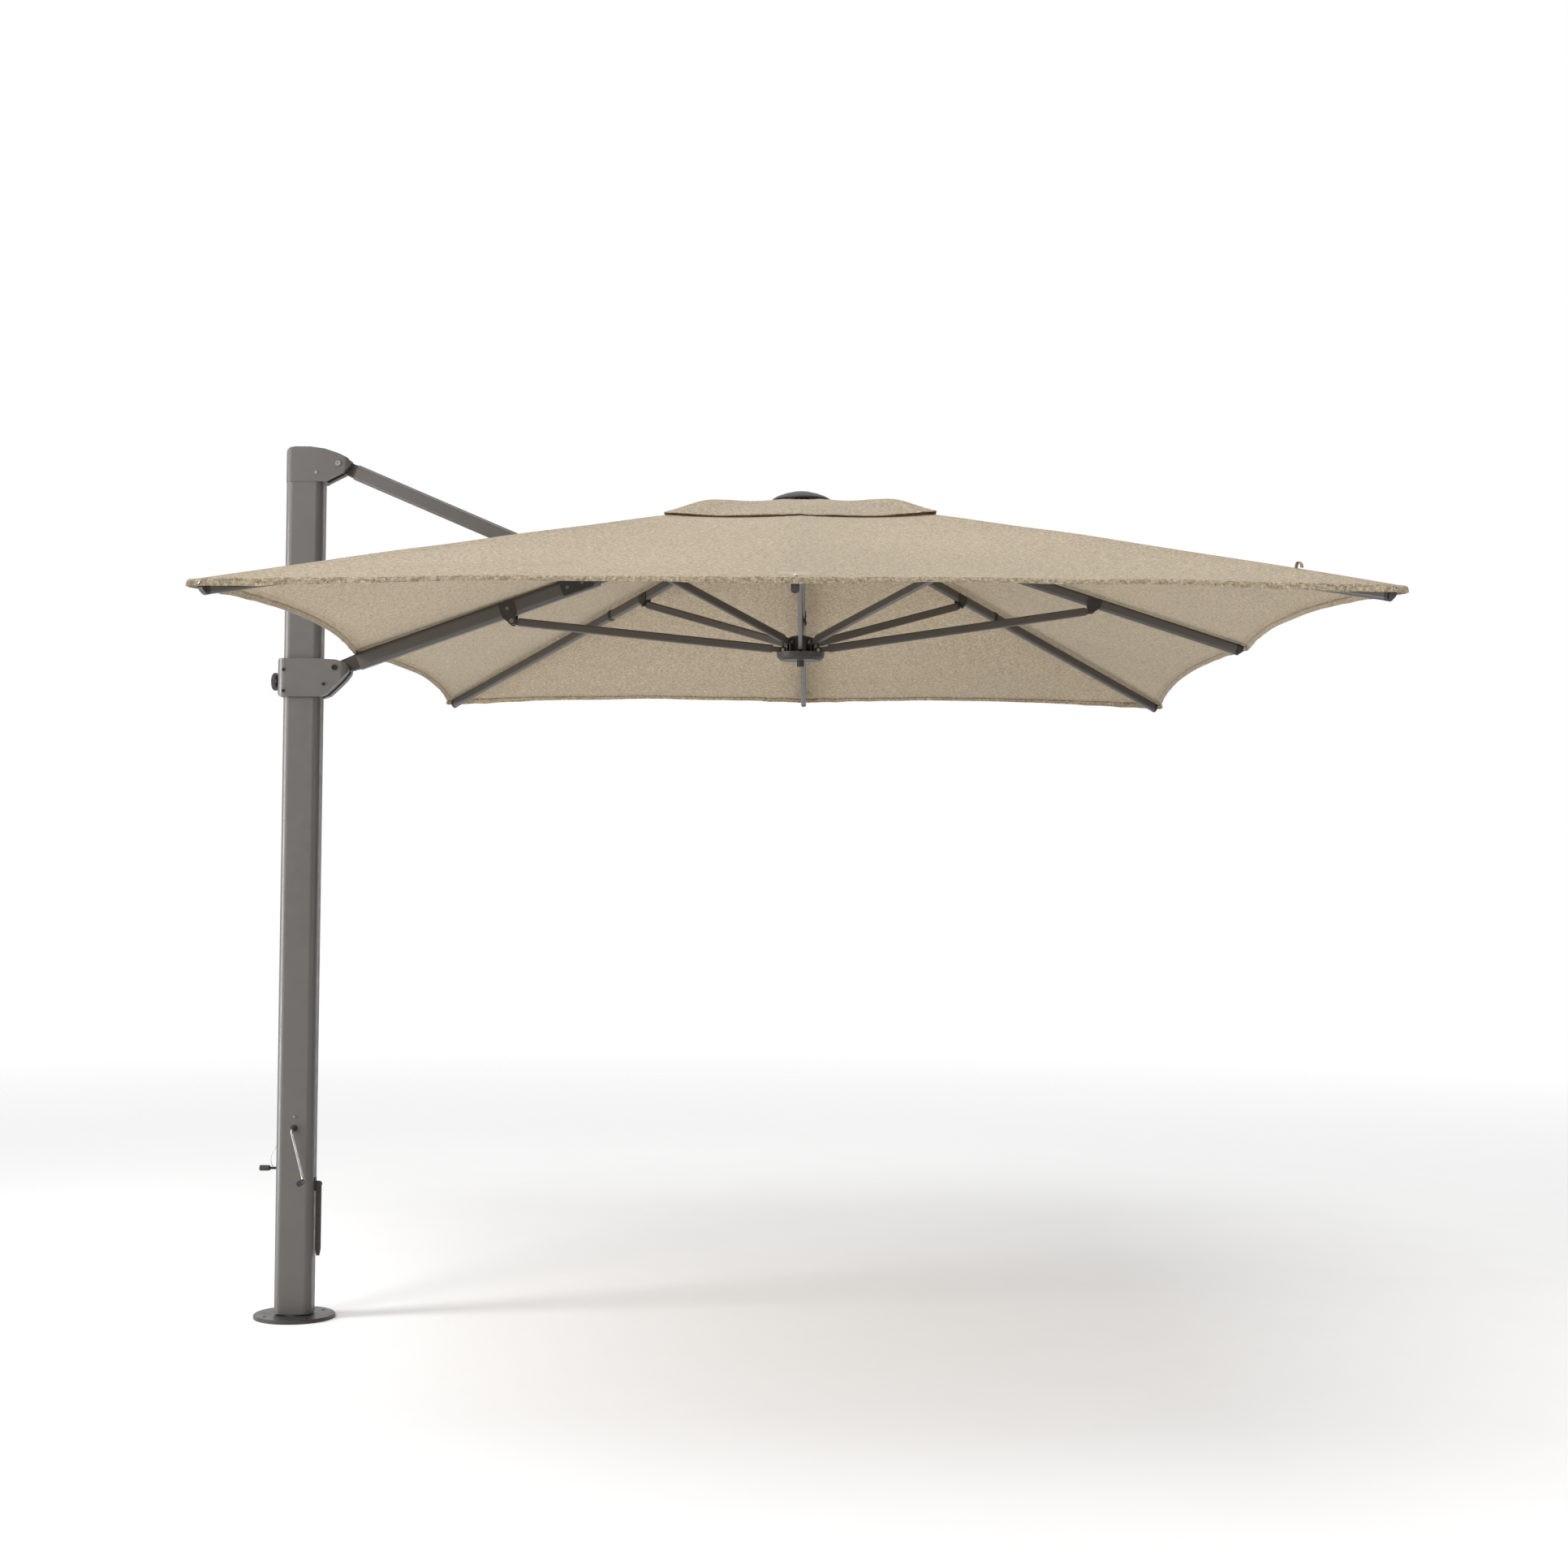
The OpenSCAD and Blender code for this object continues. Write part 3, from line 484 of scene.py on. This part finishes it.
def turned_hem(k, rise):
    """The rim's hem, turned down and doubled up inside, reaching out past a corner rib's cap."""
    face, off, rib = rim_way(k)
    past, deeper, spread = (0.026, 0.008, 0.35) if rib in CORNER else (0.002, 0.004, 0.2)
    reach = past * math.exp(-((off / 0.055) ** 2))
    deep = HEM + deeper * math.exp(-((off / spread) ** 2))
    top = cloth_point(k, 1.0, rise)
    lean = 0.42 * deep * (1 - 0.6 * math.exp(-((off / 0.06) ** 2)))
    path = [
        (reach * 0.5, -0.05 * reach), (reach * 0.85 + 0.0015, -0.0006 - 0.14 * reach),
        (reach + 0.0035, -0.0034 - 0.2 * reach), (reach + 0.003 + 0.5 * lean, -0.55 * deep),
        (reach + 0.003 + 0.93 * lean, -deep + 0.001), (reach + 0.0022 + lean, -deep),
        (reach + 0.0008 + 0.9 * lean, -deep + 0.0012), (reach + 0.0004 + 0.5 * lean, -0.6 * deep),
        (reach * 0.9 - 0.0006, -0.0042 - 0.2 * reach),
    ]
    return [top + np.array((face[0] * o, face[1] * o, d)) for o, d in path]


def piece_of_cloth(grid, flat_rows):
    """A piece's points and normals, from a grid whose columns run one step past each side.

    The first flat_rows points of a column lie on the cloth's face, and the rest are its hem.
    """
    g = np.array(grid)
    nrm = np.cross(np.gradient(g, axis=1), np.gradient(g, axis=0))
    nrm /= np.linalg.norm(nrm, axis=2, keepdims=True) + 1e-12
    nrm *= np.sign(nrm[len(g) // 2, flat_rows // 2, 2])
    g, nrm = g[1:-1], nrm[1:-1]
    flat = g.reshape(-1, 3)
    return g, nrm.reshape(-1, 3), flat


NO_SEAM = 1.0  # metres, past every stitch and ridge that the cloth's material draws


def dress(ob, i, g, rim):
    """What the stitches and seams follow: distances from the rim, round it, and from the rib."""
    out = REACH[i] / np.linalg.norm(REACH[i])
    hub = g.reshape(-1, 3) - np.array((CROWN, 0, 0))
    edge = np.zeros(g.shape[:2])
    for c in range(g.shape[0]):
        a, b = g[max(c - 1, 0), rim], g[min(c + 1, g.shape[0] - 1), rim]
        line = (b - a)[:2] / np.linalg.norm((b - a)[:2])
        gap = (g[c] - g[c, rim])[:, :2]
        edge[c] = np.abs(gap[:, 0] * line[1] - gap[:, 1] * line[0])
        beyond = np.linalg.norm(np.diff(g[c, rim:], axis=0), axis=1)
        edge[c, rim + 1 :] = -np.cumsum(beyond)
    steps = np.concatenate([[0], np.cumsum(np.linalg.norm(np.diff(g[:, rim], axis=0), axis=1))])
    put_attribute(ob, "edge", edge)
    put_attribute(ob, "round", np.repeat(steps[:, None], g.shape[1], axis=1))
    seam = hub[:, 1] * out[0] - hub[:, 0] * out[1]
    put_attribute(ob, "seam", seam if i in CORNER else np.full(len(hub), NO_SEAM))
    put_attribute(ob, "along", hub[:, 0] * out[0] + hub[:, 1] * out[1])


CLOTH_KEEP, VENT_KEEP, TRIM_KEEP = 0.13, 0.2, 0.07  # the shares of width left when folded


def fold_with(ob):
    """The cloth, and what is sewn on it, gets a mesh of its own."""
    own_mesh(ob)


def body_for(i):
    return "arm" if i == ARM else f"ribs_{NAMES[i]}"


# columns across a piece, half a panel each way, closer together by the rib
ACROSS = sorted(
    {round(x, 4) for x in np.linspace(-0.5, 0.5, 33)}
    | {side * x for side in (-1, 1) for x in (0.003, 0.007, 0.012, 0.02, 0.03)}
)
SLOT = (0.478, 0.541)  # shares out along the arm between which the strut comes through
SLOT_HALF = 0.03  # half its width: of a panel for the opening, in metres for its tape
# rows out along a piece, under the vent cover first, closer together at the rim
SHARES = sorted(
    {round(x, 4) for x in np.linspace(0.13, 0.982, 46)} | {*SLOT, 0.989, 0.993, 0.997, 1.0}
)
SHARES = [s for k, s in enumerate(SHARES) if k == 0 or s - SHARES[k - 1] > 0.0012]


def hem_wave(k, s):
    """The free edge flutters a little between ribs."""
    t = k - math.floor(k)
    near_rim = max(0.0, (s - 0.86) / 0.14) ** 2
    return 0.016 * t * (1 - t) * near_rim * noise.noise(Vector((k * 6.0, 0.4, 7.7)))


OVERRUN = 0.01  # the share of a panel by which the extra columns stand past a piece's sides


def main_piece(i, rib):
    """A canopy piece: the cloth half a panel each way from a rib, with its hem."""
    grid = []
    for c in [ACROSS[0] - OVERRUN, *ACROSS, ACROSS[-1] + OVERRUN]:
        k = i + c
        line = [cloth_point(k, s, hem_wave(k, s)) for s in SHARES]
        grid.append(line + turned_hem(k, hem_wave(k, 1.0)))
    g, nrm, flat = piece_of_cloth(grid, len(SHARES))
    gone = set()
    if i == ARM:
        for c in range(len(ACROSS) - 1):
            beside = abs(ACROSS[c] + ACROSS[c + 1]) / 2
            for r in range(len(SHARES) - 1):
                middle = (SHARES[r] + SHARES[r + 1]) / 2
                if beside < SLOT_HALF and SLOT[0] < middle < SLOT[1]:
                    gone.add((c, r))
    faces = grid_faces(g.shape[1], g.shape[0], skip=gone)
    ob = new_object(f"canopy_{rib}", flat, faces, cloth_finish, body_for(i), nrm)
    dress(ob, i, g, len(SHARES) - 1)
    return ob, flat, faces


RING = 0.088  # the radius at which the vent cover starts, under the cap


def vent_start(k):
    """The share at which the vent cover starts, so that it comes to a ring under the cap."""
    i = int(math.floor(k)) % 8
    t = k - math.floor(k)
    v = REACH[i] * (1 - t) + REACH[(i + 1) % 8] * t
    return RING / float(np.linalg.norm(v))


def vent_wave(k, s):
    """The vent cover is slack: it billows, most of all over its corners, and ripples at its rim."""
    t = k - math.floor(k)
    near = min(t, 1 - t)
    out = min(s / VENT, 1)
    i = int(round(k)) % 8
    billow = 0.012 * math.sin(math.pi * out**1.6) * (1 - 0.6 * math.exp(-((near / 0.1) ** 2)))
    peak = 0.021 if i in CORNER else 0.006
    ridge = peak * math.exp(-((near / 0.2) ** 2)) * math.exp(-(((out - 0.7) / 0.2) ** 2))
    ripple = 0.005 * out**3 * noise.noise(Vector((k * 5.0, 2.0, 1.3)))
    return billow + ridge + ripple - 0.004 * (1 - out)


VENT_GAP = 0.009  # how far the vent cover stands off the canopy
VENT_ROWS = sorted({round(x, 4) for x in np.linspace(0, 0.9, 19)} | {0.94, 0.965, 0.98, 0.99, 1.0})


def vent_piece(i, rib):
    """A vent cover piece, from the ring under the cap to its rim, doubled under there."""
    cols = [x for x in ACROSS if abs(x) != 0.003]
    grid = []
    for c in [cols[0] - OVERRUN, *cols, cols[-1] + OVERRUN]:
        k = i + c
        start = vent_start(k)
        places = [(start + (VENT - start) * w, 0.0) for w in VENT_ROWS]
        places += [
            (VENT * 1.003, 0.0012), (VENT, 0.0028), (VENT * 0.97, 0.0026), (VENT * 0.94, 0.0022),
        ]
        line = []
        for s, drop in places:
            point = cloth_point(k, s, VENT_GAP - drop)
            point[2] += vent_wave(k, s)
            line.append(point)
        grid.append(line)
    g, nrm, flat = piece_of_cloth(grid, len(VENT_ROWS))
    faces = grid_faces(g.shape[1], g.shape[0])
    ob = new_object(f"vent_{rib}", flat, faces, cloth_finish, body_for(i), nrm)
    dress(ob, i, g, len(VENT_ROWS) - 1)
    return ob, flat, faces


for i, rib in enumerate(NAMES):
    for make, node, keep, under in (
        (main_piece, "canopy", CLOTH_KEEP, "arm_tube" if i == ARM else f"rib_{rib}"),
        (vent_piece, "vent_cover", VENT_KEEP, "crown_hub"),
    ):
        ob, verts, faces = make(i, rib)
        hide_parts(node)
        fold_with(ob)


def crown_gather():
    """The vent cover's middle, gathered in pleats under the cap."""
    sides, pleats = 192, 24
    rings = [0.03, 0.045, 0.058, 0.07, 0.08, 0.0885]
    run, drop = 2.05, 0.5  # metres out and down from crown to rim, taken the same all round
    verts = []
    for c in range(sides):
        a = 2 * math.pi * c / sides
        for r in rings:
            x, y = r * math.cos(a), r * math.sin(a)
            share = r / run
            z = PEAK + VENT_GAP - share * drop
            pleat = math.sin(pleats * a + 1.3 * math.sin(3 * a))
            fade = min(1, (rings[-1] - r) / 0.02)
            verts.append((CROWN + x, y, z + 0.0016 * pleat * fade - 0.001 * fade))
    faces = grid_faces(len(rings), sides, wrap=True)
    ob = new_object("crown_gather", verts, faces, trim_finish, "crown")


crown_gather()

# ---------------------------------------------------------------- canopy trimmings


def on_rib(i, s, off, rise):
    """A point of the cloth near a rib: off metres to the rib's left, looking outward."""
    side = -1 if off < 0 else 1
    spread = float(np.linalg.norm(REACH[(i + side) % 8] - REACH[i])) * s
    return cloth_point(i + off / spread, s, rise)


def patch(name, i, s0, s1, w0, w1, rise):
    """A strip of cloth sewn over a rib, from share s0 to s1, w0 to w1 wide, with rolled edges."""
    rows, cols = 7, 9
    verts = []
    for c in range(cols):
        u = -1 + 2 * c / (cols - 1)
        for r in range(rows):
            v = r / (rows - 1)
            s = s0 + (s1 - s0) * v
            w = w0 + (w1 - w0) * v
            down = rise if abs(u) < 1 and 0 < v < 1 else 0.0002
            verts.append(on_rib(i, s, u * w / 2, down))
    ob = new_object(name, verts, grid_faces(rows, cols), trim_finish, body_for(i))
    close_and_smooth(ob, 50)
    fold_with(ob)


# the front, right and back ribs
for i in (1, 3, 5):
    patch(f"rib_patch_{NAMES[i]}", i, 0.955, 0.982, 0.07, 0.09, 0.0018)


def corner_eyelet(i):
    """A steel eyelet through the turned down tip of the cloth, on its front or back face."""
    beside = 0.014
    k = i + (beside if i in (0, 4) else -beside)
    half_way_down = 3  # the place in the hem's outline of the middle of its outer face
    spot = turned_hem(k, 0.0)[half_way_down]
    face = rim_way(k)[0]
    lean = Vector((face[0], face[1], 0.35))
    ring = [
        (0.0032, 0.0004), (0.0036, 0.0016), (0.005, 0.0022),
        (0.0066, 0.0016), (0.007, 0.0002), (0.005, -0.0012),
    ]
    ob = lathe(f"corner_eyelet_{NAMES[i]}", ring + ring[:1], spot, lean, body_for(i))
    fold_with(ob)


for i in CORNER:
    corner_eyelet(i)


def slot_binding():
    """Tape sewn round the slot that the strut comes through."""
    x0, x1 = SLOT
    verts, count = [], 64
    n = 10  # the power of the superellipse that it follows: nearly a rectangle
    for k in range(count):
        a = 2 * math.pi * k / count
        c, s = math.cos(a), math.sin(a)
        c = math.copysign(abs(c) ** (2 / n), c)
        s = math.copysign(abs(s) ** (2 / n), s)
        for grow, rise in ((-0.002, 0.0), (-0.002, 0.002), (0.014, 0.0022), (0.0145, 0.0004)):
            share = (x0 + x1) / 2 + c * ((x1 - x0) / 2 + grow / 1.5)
            off = s * (SLOT_HALF + grow)
            verts.append(on_rib(ARM, share, off, rise))
    faces = grid_faces(4, count, wrap=True)
    ob = new_object("strut_slot_binding", verts, faces, trim_finish, "arm")
    close_and_smooth(ob, 60)
    fold_with(ob)


slot_binding()


def front_snap():
    """The press stud that holds the cloth to the front rib."""
    dome = [(0, 0.0052), (0.003, 0.005), (0.0052, 0.0038), (0.0064, 0.002), (0.0075, 0.001), (0.0078, 0)]
    ob = lathe("front_snap", dome, on_rib(1, 0.992, 0, 0.001), (0, -0.26, 0.97), "ribs_fm")
    fold_with(ob)


front_snap()


def hip_loop():
    """A small webbing loop sewn on the front right hip."""
    verts, count = [], 14
    out = Vector((*REACH[2], 0)).normalized()
    wide = Vector((-out.y, out.x, 0)) * 0.006
    foot = Vector(on_rib(2, 0.872, 0, 0.001))
    for k in range(count + 1):
        a = math.pi * k / count
        p = foot + out * (-0.009 * math.cos(a)) + Vector((0, 0, 0.016 * math.sin(a)))
        verts += [p - wide, p + wide]
    faces = [(2 * k, 2 * k + 1, 2 * k + 3, 2 * k + 2) for k in range(count)]
    ob = new_object("hip_loop", verts, faces, trim_finish, "ribs_fr")
    thick = ob.modifiers.new("thick", "SOLIDIFY")
    thick.thickness = 0.0012
    fold_with(ob)


hip_loop()

# ---------------------------------------------------------------- lock pin's wire

# from its eyelet in the mast to the pin's neck, the same points as the CAD's wire
WAY = [
    (-0.0636, -0.020, 0.568), (-0.070, -0.022, 0.563), (-0.077, -0.024, 0.548), (-0.081, -0.022, 0.532),
    (-0.082, -0.016, 0.518), (-0.081, -0.009, 0.508), (-0.079, -0.003, 0.5026), (-0.078, 0.0, 0.5013),
]


def smooth_way(points, count):
    """A smooth curve through the points (Catmull-Rom), in count steps."""
    pts, out = [np.array(p) for p in points], []
    m = len(pts) - 1
    for q in range(count + 1):
        f = q / count * m
        i = min(int(f), m - 1)
        t = f - i
        a, b, c, d = pts[max(i - 1, 0)], pts[i], pts[i + 1], pts[min(i + 2, m)]
        out.append(
            0.5 * (2 * b + t * (c - a) + t * t * (2 * a - 5 * b + 4 * c - d) + t**3 * (3 * b - a - 3 * c + d))
        )
    return out


def lanyard():
    """A wire rope of three strands, laid up as it runs."""
    steps, around = 96, 15
    radius, strand_rise, lay_length = 0.00092, 0.00008, 0.009
    line = smooth_way(WAY, steps)
    verts, run = [], 0.0
    for q, p in enumerate(line):
        t = line[min(q + 1, steps)] - line[max(q - 1, 0)]
        t /= np.linalg.norm(t)
        u = np.array((1, 0, 0)) - t[0] * t
        u /= np.linalg.norm(u)
        v = np.cross(t, u)
        if q:
            run += np.linalg.norm(p - line[q - 1])
        for k in range(around):
            a = 2 * math.pi * k / around
            r = radius + strand_rise * math.cos(3 * a - run * 2 * math.pi / lay_length)
            verts.append(p + r * (math.cos(a) * u + math.sin(a) * v))
    faces = []
    for q in range(steps):
        here, there = q * around, (q + 1) * around
        for k in range(around):
            j = (k + 1) % around
            faces.append((here + k, here + j, there + j, there + k))
    faces += [tuple(reversed(range(around))), tuple(steps * around + k for k in range(around))]
    ob = new_object("lanyard_wire", verts, faces, finishes["steel"], "mast")
    close_and_smooth(ob, 80)
    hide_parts("lock_pin_lanyard")


lanyard()

# ---------------------------------------------------------------- studio


def studio_walls():
    """White walls behind and to the left, dimmer ones in front and to the right."""
    world = bpy.data.worlds.new("studio")
    world.use_nodes = True
    tree = world.node_tree
    back = tree.nodes["Background"]
    place = tree.nodes.new("ShaderNodeTexCoord")
    facing = tree.nodes.new("ShaderNodeVectorMath")
    facing.operation = "DOT_PRODUCT"
    facing.inputs[1].default_value = (0.9, -0.55, 0)
    dim = tree.nodes.new("ShaderNodeMapRange")
    for socket, v in zip(dim.inputs[1:5], (-0.15, 0.75, 1.0, 0.5)):
        socket.default_value = v
    tree.links.new(place.outputs["Generated"], facing.inputs[0])
    tree.links.new(facing.outputs["Value"], dim.inputs[0])
    tree.links.new(dim.outputs[0], back.inputs["Strength"])
    back.inputs["Color"].default_value = (1, 1, 1, 1)
    return world


FLOOR_FADES = (3.5, 11.0)  # metres from its middle over which the floor fades into the walls


def studio_floor():
    """A white plaster floor just under the base plate."""
    n = Nodes("floor")
    plaster = n.noise(3, 5)
    n.end(
        n.mix(plaster, (0.86, 0.86, 0.86), (0.89, 0.89, 0.89)), 0.8,
        n.bump(n.noise(60, 3), 0.0002),
    )
    clear = n.add("BsdfTransparent")
    away = n.add("VectorMath", operation="LENGTH")
    n.feed(n.coords(), away.inputs[0])
    fade = n.add("MixShader")
    n.feed(n.between(away.outputs["Value"], *FLOOR_FADES), fade.inputs[0])
    n.feed(n.shader.outputs[0], fade.inputs[1])
    n.feed(clear.outputs[0], fade.inputs[2])
    n.feed(fade.outputs[0], n.tree.nodes["Material Output"].inputs["Surface"])
    half = 12
    corners = [(-half, -half, 0), (half, -half, 0), (half, half, 0), (-half, half, 0)]
    mesh = bpy.data.meshes.new("floor")
    mesh.from_pydata(corners, [], [(0, 1, 2, 3)])
    mesh.materials.append(n.material)
    floor = bpy.data.objects.new("floor", mesh)
    floor.location = (1.2, 0, -0.0002)
    bpy.context.collection.objects.link(floor)


def lamp(name, place, target, size, power):
    """A rectangular soft light at place, turned to target."""
    data = bpy.data.lights.new(name, "AREA")
    data.shape, data.size, data.size_y = "RECTANGLE", size[0], size[1]
    data.energy = power
    ob = bpy.data.objects.new(name, data)
    ob.location = place
    ob.rotation_mode = "QUATERNION"
    ob.rotation_quaternion = (Vector(target) - Vector(place)).to_track_quat("-Z", "Y")
    bpy.context.collection.objects.link(ob)


def studio():
    """The walls, the floor and four lamps."""
    scene = bpy.context.scene
    scene.view_settings.view_transform = "Standard"
    scene.world = studio_walls()
    studio_floor()
    lamp("key", (-3.4, -5.6, 5.0), (1.4, -0.6, 2.2), (2.2, 2.2), 160)
    lamp("top", (1.8, -1.5, 7.5), (1.8, 0, 2.4), (4, 4), 150)
    lamp("edge", (-2.6, -0.9, 1.6), (0, 0, 1.5), (0.8, 3.2), 125)
    lamp("right", (5.4, -4.2, 1.6), (2.6, -1.2, 2.2), (1.2, 1.2), 30)


studio()
